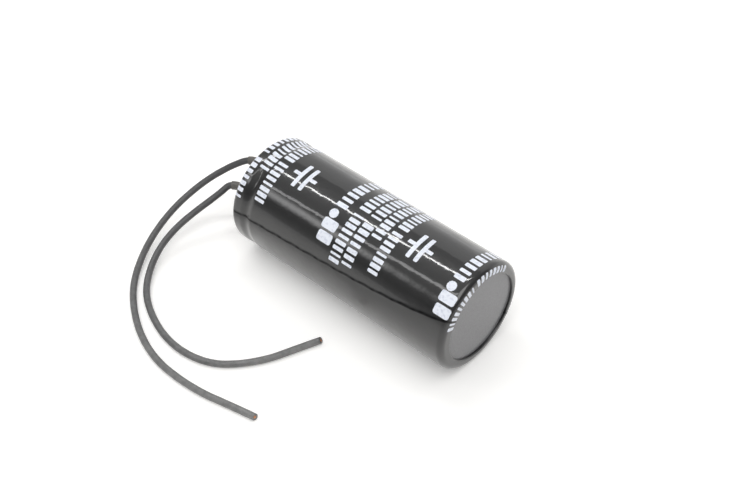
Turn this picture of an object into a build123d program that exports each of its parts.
from build123d import *
import math
import os

# A motor start capacitor that lies on its side: a sealed aluminium can in a shrunk PVC sleeve,
# with an insulating disc in its base and two insulated leads soldered to lugs on its lid.
# Lengths are in millimetres. +X runs along the can from the lid to the base and +Z is up.
# The origin is on the table, below the middle of the can.

# Sleeve
BODY_DIAMETER = 40.0
BODY_LENGTH = 95.0
SLEEVE_WALL = 0.5

# Can: its base has a drawn corner and a standing rim, and its other rim is rolled in over the lid
CAN_WALL = 0.6
BASE_CORNER_RADIUS = 1.7
BASE_RIM_FLAT = 0.4
LEAD_ROLL_RADIUS = 1.5
LEAD_RIM_FLAT = 0.9
RIM_EDGE_RADIUS = 0.1
BEAD_DISTANCE = 7.0
BEAD_WIDTH = 5.0
BEAD_DEPTH = 0.5

# Base disc
BASE_RECESS_DEPTH = 1.4
BASE_DISC_THICKNESS = 0.9
BASE_DISC_CLEARANCE = 0.1
BASE_DISC_EDGE_RADIUS = 0.15

# Lid and its seal
LID_THICKNESS = 3.0
LID_CLEARANCE = 0.05
LID_CHAMFER = 0.4
SEAL_THICKNESS = 1.2
SEAL_SHOWING_WIDTH = 0.6
SEAL_EDGE_RADIUS = 0.3

# Terminals: a rivet and a bent solder lug on each side of the lid's middle
TERMINAL_SPACING = 18.2
TERMINAL_ROLL = 35.5
RIVET_SHANK_DIAMETER = 2.4
RIVET_HEAD_DIAMETER = 4.2
RIVET_HEAD_HEIGHT = 0.8
RIVET_HEAD_EDGE_RADIUS = 0.45
RIVET_DIMPLE_DIAMETER = 1.4
RIVET_DIMPLE_DEPTH = 0.4
RIVET_CLEARANCE = 0.05
LUG_THICKNESS = 0.5
LUG_EYE_DIAMETER = 5.6
LUG_HEAD_GAP = 0.1
LUG_TAB_WIDTH = 1.0
LUG_TAB_HEIGHT = 2.2
LUG_BEND_RADIUS = 0.35
SOLDER_SEAM = 0.05
SOLDER_THICKNESS = 0.55
SOLDER_LENGTH = 1.3
SOLDER_EDGE_RADIUS = 0.3

# Vent plug
VENT_OFFSET = 9.0
VENT_SHANK_DIAMETER = 3.2
VENT_HEAD_DIAMETER = 5.0
VENT_HEAD_HEIGHT = 1.0
VENT_HEAD_EDGE_RADIUS = 0.45
VENT_CLEARANCE = 0.05

# Leads
LEAD_DIAMETER = 2.4
CONDUCTOR_DIAMETER = 1.0
CONDUCTOR_STAND_OFF = 0.4
STRIP_GAP = 0.2
TUBING_WALL = 0.35
TUBING_RIVET_GAP = 0.1
TUBING_JOINT_GAP = 0.03
TUBING_MOUTH_GAP = 0.1
LEAD_RISE = 5.4
TABLE_GAP = 0.05
ARC_RUN_SHARE = 0.45

# Each lead's route after it has risen straight off the lid. It falls through points whose first number
# is measured from the sleeve's lead end, then lies on the table through points given from above.
# The fourth point of a fall is the kink just outside the mouth of the tubing.
UPPER_LEAD_FALL = [
    (-7.1, 4.4, 23.35), (-10.1, 3.95, 23.35), (-12.7, 3.1, 23.2), (-14.8, 1.8, 22.8), (-17.0, 0.7, 21.2),
    (-20.0, -1.5, 19.0), (-24.5, -7.0, 15.0), (-27.5, -14.5, 11.0), (-28.5, -23.5, 7.5), (-27.0, -33.5, 4.5),
    (-23.0, -43.5, 2.5),
]
UPPER_LEAD_LIE = [
    (-16.0, -54.0), (-6.0, -62.5), (5.5, -69.0), (17.0, -72.5), (28.0, -73.0), (39.0, -72.0), (49.0, -69.5),
    (58.5, -67.5),
]
LOWER_LEAD_FALL = [
    (-7.1, -4.6, 17.2), (-10.1, -5.0, 17.3), (-12.7, -5.9, 17.15), (-14.8, -7.15, 16.85), (-15.5, -9.7, 15.4),
    (-16.9, -13.6, 13.3), (-18.8, -20.4, 10.7), (-20.5, -28.5, 7.5), (-20.0, -37.0, 4.5), (-16.0, -46.0, 2.5),
    (-9.0, -54.5, 1.5),
]
LOWER_LEAD_LIE = [
    (1.5, -60.5), (13.0, -64.0), (23.5, -64.0), (32.5, -61.0), (39.0, -55.0), (44.5, -47.0), (48.0, -38.0),
    (51.5, -29.5),
]
KINK_INDEX = 3

# Sizes that follow from those above
BODY_RADIUS = BODY_DIAMETER / 2
CAN_RADIUS = BODY_RADIUS - SLEEVE_WALL
BASE_END = BODY_LENGTH / 2
LEAD_END = -BODY_LENGTH / 2
BASE_RIM = BASE_END - SLEEVE_WALL
LEAD_RIM = LEAD_END + SLEEVE_WALL
BASE_RIM_BORE = CAN_RADIUS - BASE_CORNER_RADIUS - BASE_RIM_FLAT - RIM_EDGE_RADIUS
LEAD_RIM_BORE = CAN_RADIUS - LEAD_ROLL_RADIUS - LEAD_RIM_FLAT - RIM_EDGE_RADIUS
BASE_OPENING = BASE_RIM_BORE - SLEEVE_WALL
LEAD_OPENING = LEAD_RIM_BORE - SLEEVE_WALL
DISC_FACE = BASE_END - BASE_RECESS_DEPTH
DISC_SEAT = DISC_FACE - BASE_DISC_THICKNESS
SEAL_FACE = LEAD_RIM + CAN_WALL
LID_FACE = SEAL_FACE + SEAL_THICKNESS
LID_SEAT = LID_FACE + LID_THICKNESS
SEAT_RADIUS = CAN_RADIUS - CAN_WALL
BEAD_PLACE = LEAD_END + BEAD_DISTANCE
BEAD_ROLL_RADIUS = (BEAD_WIDTH ** 2 / 4 + BEAD_DEPTH ** 2) / (2 * BEAD_DEPTH)
BEAD_ROLL_CENTRE = CAN_RADIUS - BEAD_DEPTH + BEAD_ROLL_RADIUS
RIVET_PLACE = TERMINAL_SPACING / 2
TAB_FACE = RIVET_PLACE - RIVET_HEAD_DIAMETER / 2 - LUG_HEAD_GAP - LUG_BEND_RADIUS - LUG_THICKNESS
TAB_OFFSET = CONDUCTOR_DIAMETER / 2 + SOLDER_SEAM
WIRE_PLACE = TAB_FACE - TAB_OFFSET
SOLDER_RADIUS = CONDUCTOR_DIAMETER / 2 + SOLDER_THICKNESS
JOINT_RADIUS = max(SOLDER_RADIUS, math.hypot(TAB_OFFSET + LUG_THICKNESS, LUG_TAB_WIDTH / 2))
TUBING_BORE_RADIUS = max(LEAD_DIAMETER / 2, JOINT_RADIUS + TUBING_JOINT_GAP)

# The lid's own frame: x towards the first terminal, z out of the lid
LID_PLANE = Plane(
    origin=(LID_FACE, 0, BODY_RADIUS),
    x_dir=(0, math.cos(math.radians(TERMINAL_ROLL)), math.sin(math.radians(TERMINAL_ROLL))),
    z_dir=(-1, 0, 0),
)


def outline(points, radii):
    """A closed face through the points, with each corner rounded by its radius."""
    return make_face(FilletPolyline(*points, radius=radii, close=True))


def block(x_low, x_high, radius_low, radius_high):
    """A rectangle of a lathe profile, between two places along the can and two radii."""
    return outline(
        [(x_low, radius_low), (x_high, radius_low), (x_high, radius_high), (x_low, radius_high)],
        [0, 0, 0, 0],
    )


def turned(profile):
    """The solid that a profile of length and radius makes when it is turned about the can's axis."""
    return Pos(0, 0, BODY_RADIUS) * revolve(profile, Axis.X)


def bead_cut(roll_radius):
    """The round groove that the beading wheel rolls into the can below the lid."""
    return Pos(BEAD_PLACE, BEAD_ROLL_CENTRE) * Circle(roll_radius)


def can_outline():
    """The can's outside, filled across the base recess up to the disc and across the lid up to the seal."""
    corners = outline(
        [
            (DISC_FACE, 0),
            (DISC_FACE, BASE_RIM_BORE),
            (BASE_RIM, BASE_RIM_BORE),
            (BASE_RIM, CAN_RADIUS),
            (LEAD_RIM, CAN_RADIUS),
            (LEAD_RIM, LEAD_RIM_BORE),
            (SEAL_FACE, LEAD_RIM_BORE),
            (SEAL_FACE, 0),
        ],
        [0, 0, RIM_EDGE_RADIUS, BASE_CORNER_RADIUS, LEAD_ROLL_RADIUS, RIM_EDGE_RADIUS, 0, 0],
    )
    return corners - bead_cut(BEAD_ROLL_RADIUS)


def make_can():
    """The sealed can with its contents as one solid: recessed base, rolled bead, lid seat and rolled rim."""
    lid_seat = block(SEAL_FACE, LID_SEAT, 0, SEAT_RADIUS)
    disc_seat = block(DISC_SEAT, DISC_FACE, 0, BASE_RIM_BORE)
    return turned(can_outline() - lid_seat - disc_seat)


def make_sleeve():
    """The shrunk sleeve: one wall that follows the can, turned in over both rims and over the bead."""
    outside = outline(
        [
            (DISC_FACE, BASE_OPENING),
            (BASE_END, BASE_OPENING),
            (BASE_END, BODY_RADIUS),
            (LEAD_END, BODY_RADIUS),
            (LEAD_END, LEAD_OPENING),
            (SEAL_FACE, LEAD_OPENING),
        ],
        [
            0,
            RIM_EDGE_RADIUS + SLEEVE_WALL,
            BASE_CORNER_RADIUS + SLEEVE_WALL,
            LEAD_ROLL_RADIUS + SLEEVE_WALL,
            RIM_EDGE_RADIUS + SLEEVE_WALL,
            0,
        ],
    )
    return turned(outside - bead_cut(BEAD_ROLL_RADIUS - SLEEVE_WALL) - can_outline())


def make_base_disc():
    """The insulating disc in the base recess, held by the sleeve's turned-in edge."""
    radius = BASE_RIM_BORE - BASE_DISC_CLEARANCE
    return turned(
        outline(
            [(DISC_SEAT, 0), (DISC_FACE, 0), (DISC_FACE, radius), (DISC_SEAT, radius)],
            [0, 0, BASE_DISC_EDGE_RADIUS, BASE_DISC_EDGE_RADIUS],
        )
    )


def make_lid_seal():
    """The rubber ring that the rolled rim presses on the lid."""
    inner = LEAD_OPENING - SEAL_SHOWING_WIDTH
    outer = SEAT_RADIUS - LID_CLEARANCE
    return turned(
        outline(
            [(SEAL_FACE, inner), (LID_FACE, inner), (LID_FACE, outer), (SEAL_FACE, outer)],
            [SEAL_EDGE_RADIUS, 0, 0, 0],
        )
    )


def rivet_hole(place, diameter):
    """A round hole through the lid, at a place in the lid's own frame."""
    return place * Cylinder(diameter / 2, LID_THICKNESS, align=(Align.CENTER, Align.CENTER, Align.MAX))


def make_lid():
    """The phenolic lid, with its two rivet holes and its vent hole."""
    radius = SEAT_RADIUS - LID_CLEARANCE
    disc = turned(block(LID_FACE, LID_SEAT, 0, radius))
    disc = chamfer(disc.edges().filter_by(GeomType.CIRCLE), LID_CHAMFER)
    rivet_bore = RIVET_SHANK_DIAMETER + 2 * RIVET_CLEARANCE
    holes = [rivet_hole(Pos(side * RIVET_PLACE, 0), rivet_bore) for side in (1, -1)]
    holes.append(rivet_hole(Pos(0, VENT_OFFSET), VENT_SHANK_DIAMETER + 2 * VENT_CLEARANCE))
    for hole in holes:
        disc -= LID_PLANE.location * hole
    return disc


def headed_pin(shank_radius, head_radius, head_low, head_height, edge_radius):
    """A pin that fills the lid's thickness, under a rounded head, standing on its own z axis."""
    head_top = head_low + head_height
    profile = outline(
        [
            (0, -LID_THICKNESS),
            (shank_radius, -LID_THICKNESS),
            (shank_radius, head_low),
            (head_radius, head_low),
            (head_radius, head_top),
            (0, head_top),
        ],
        [0, 0, 0, 0, edge_radius, 0],
    )
    return revolve(Plane.XZ * profile, Axis.Z)


def make_rivet():
    """A terminal rivet: shank through lug and lid, rounded head with a dimple."""
    pin = headed_pin(
        RIVET_SHANK_DIAMETER / 2,
        RIVET_HEAD_DIAMETER / 2,
        LUG_THICKNESS,
        RIVET_HEAD_HEIGHT,
        RIVET_HEAD_EDGE_RADIUS,
    )
    dimple = Pos(0, 0, LUG_THICKNESS + RIVET_HEAD_HEIGHT) * Cylinder(
        RIVET_DIMPLE_DIAMETER / 2, RIVET_DIMPLE_DEPTH, align=(Align.CENTER, Align.CENTER, Align.MAX)
    )
    return Pos(RIVET_PLACE, 0) * (pin - dimple)


def make_vent_plug():
    """The soft plug that closes the lid's vent hole."""
    plug = headed_pin(VENT_SHANK_DIAMETER / 2, VENT_HEAD_DIAMETER / 2, 0, VENT_HEAD_HEIGHT, VENT_HEAD_EDGE_RADIUS)
    return LID_PLANE.location * (Pos(0, VENT_OFFSET) * plug)


def make_lug():
    """A solder lug: an eye under the rivet's head and a tab bent up off the lid beside the wire."""
    strip = outline(
        [
            (RIVET_PLACE, 0),
            (RIVET_PLACE, LUG_THICKNESS),
            (TAB_FACE + LUG_THICKNESS, LUG_THICKNESS),
            (TAB_FACE + LUG_THICKNESS, LUG_TAB_HEIGHT),
            (TAB_FACE, LUG_TAB_HEIGHT),
            (TAB_FACE, 0),
        ],
        [0, 0, LUG_BEND_RADIUS, 0, 0, LUG_BEND_RADIUS + LUG_THICKNESS],
    )
    tab = extrude(Plane.XZ * strip, LUG_TAB_WIDTH / 2, both=True)
    lowest = (Align.CENTER, Align.CENTER, Align.MIN)
    eye = Pos(RIVET_PLACE, 0) * Cylinder(LUG_EYE_DIAMETER / 2, LUG_THICKNESS, align=lowest)
    bore = Pos(RIVET_PLACE, 0) * Cylinder(RIVET_SHANK_DIAMETER / 2 + RIVET_CLEARANCE, LUG_THICKNESS, align=lowest)
    return tab + eye - bore


def make_solder_joint():
    """The solder that joins the stripped wire to the lug's tab, cut flat where it meets the tab."""
    lowest = (Align.CENTER, Align.CENTER, Align.MIN)
    blob = Cylinder(SOLDER_RADIUS, SOLDER_LENGTH, align=lowest)
    blob = fillet(blob.edges().filter_by(GeomType.CIRCLE), SOLDER_EDGE_RADIUS)
    wire = Cylinder(CONDUCTOR_DIAMETER / 2, SOLDER_LENGTH, align=lowest)
    beyond_tab = Pos(TAB_OFFSET, 0) * Box(
        SOLDER_RADIUS, 2 * SOLDER_RADIUS, SOLDER_LENGTH, align=(Align.MIN, Align.CENTER, Align.MIN)
    )
    top = LUG_TAB_HEIGHT - SOLDER_LENGTH
    return Pos(WIRE_PLACE, 0, top) * (blob - wire - beyond_tab)


def arc_reach(points, index):
    """How far the arc at a corner of a route reaches along its two runs."""
    before = points[index] - points[index - 1]
    after = points[index + 1] - points[index]
    return ARC_RUN_SHARE * min(before.length, after.length)


def corner_radii(points):
    """The arc at each corner of a route, as large as its two runs allow."""
    radii = []
    for index in range(1, len(points) - 1):
        before = points[index] - points[index - 1]
        after = points[index + 1] - points[index]
        half_turn = math.radians(before.get_angle(after)) / 2
        radii.append(arc_reach(points, index) / math.tan(half_turn))
    return radii


def tube(points, radii, outer_radius, bore_radius):
    """A round tube along a route of straight runs and tangent arcs. A bore of zero leaves it solid."""
    path = FilletPolyline(*points, radius=radii)
    section = Circle(outer_radius)
    if bore_radius > 0:
        section -= Circle(bore_radius)
    start = Plane(origin=points[0], z_dir=points[1] - points[0])
    solid = sweep(start * section, path)
    volume_share = solid.volume / (section.area * path.length)
    print("  length", round(path.length, 2), "volume over section times length", round(volume_share, 6))
    return solid


def make_lead(name, turn, fall, lie):
    """One lead: its insulation, its conductor and the shrunk tubing over its joint."""
    def above_lid(height):
        return (LID_PLANE.location * turn * Pos(WIRE_PLACE, 0, height)).position

    route = [above_lid(LEAD_RISE)]
    route += [Vector(LEAD_END + x, y, z) for x, y, z in fall]
    route += [Vector(LEAD_END + x, y, LEAD_DIAMETER / 2 + TABLE_GAP) for x, y in lie]
    points = [above_lid(LUG_TAB_HEIGHT + STRIP_GAP)] + route
    kink = len(points) - len(fall) - len(lie) + KINK_INDEX
    radii = corner_radii(points)
    print(name, "radii", [round(radius, 1) for radius in radii])
    insulation = tube(points, radii, LEAD_DIAMETER / 2, CONDUCTOR_DIAMETER / 2)
    conductor = tube([above_lid(CONDUCTOR_STAND_OFF)] + route, radii, CONDUCTOR_DIAMETER / 2, 0)
    into_kink = (points[kink] - points[kink - 1]).normalized()
    mouth = points[kink] - into_kink * (arc_reach(points, kink) + TUBING_MOUTH_GAP)
    foot = above_lid(LUG_THICKNESS + RIVET_HEAD_HEIGHT + TUBING_RIVET_GAP)
    covered = [foot] + points[1:kink] + [mouth]
    tubing = tube(covered, radii[:kink - 1], TUBING_BORE_RADIUS + TUBING_WALL, TUBING_BORE_RADIUS)
    return {
        f"{name}_lead_insulation": insulation,
        f"{name}_lead_conductor": conductor,
        f"{name}_lead_tubing": tubing,
    }


def main():
    parts = {
        "can": make_can(),
        "shrink_sleeve": make_sleeve(),
        "base_disc": make_base_disc(),
        "lid": make_lid(),
        "lid_seal": make_lid_seal(),
        "vent_plug": make_vent_plug(),
    }
    terminals = (
        ("upper", Rot(0, 0, 0), UPPER_LEAD_FALL, UPPER_LEAD_LIE),
        ("lower", Rot(0, 0, 180), LOWER_LEAD_FALL, LOWER_LEAD_LIE),
    )
    for name, turn, fall, lie in terminals:
        place = LID_PLANE.location * turn
        parts[f"{name}_terminal_rivet"] = place * make_rivet()
        parts[f"{name}_solder_lug"] = place * make_lug()
        parts[f"{name}_solder_joint"] = place * make_solder_joint()
        parts.update(make_lead(name, turn, fall, lie))
    os.makedirs("parts", exist_ok=True)
    for node, solid in parts.items():
        export_step(solid, f"parts/{node}.step")


main()
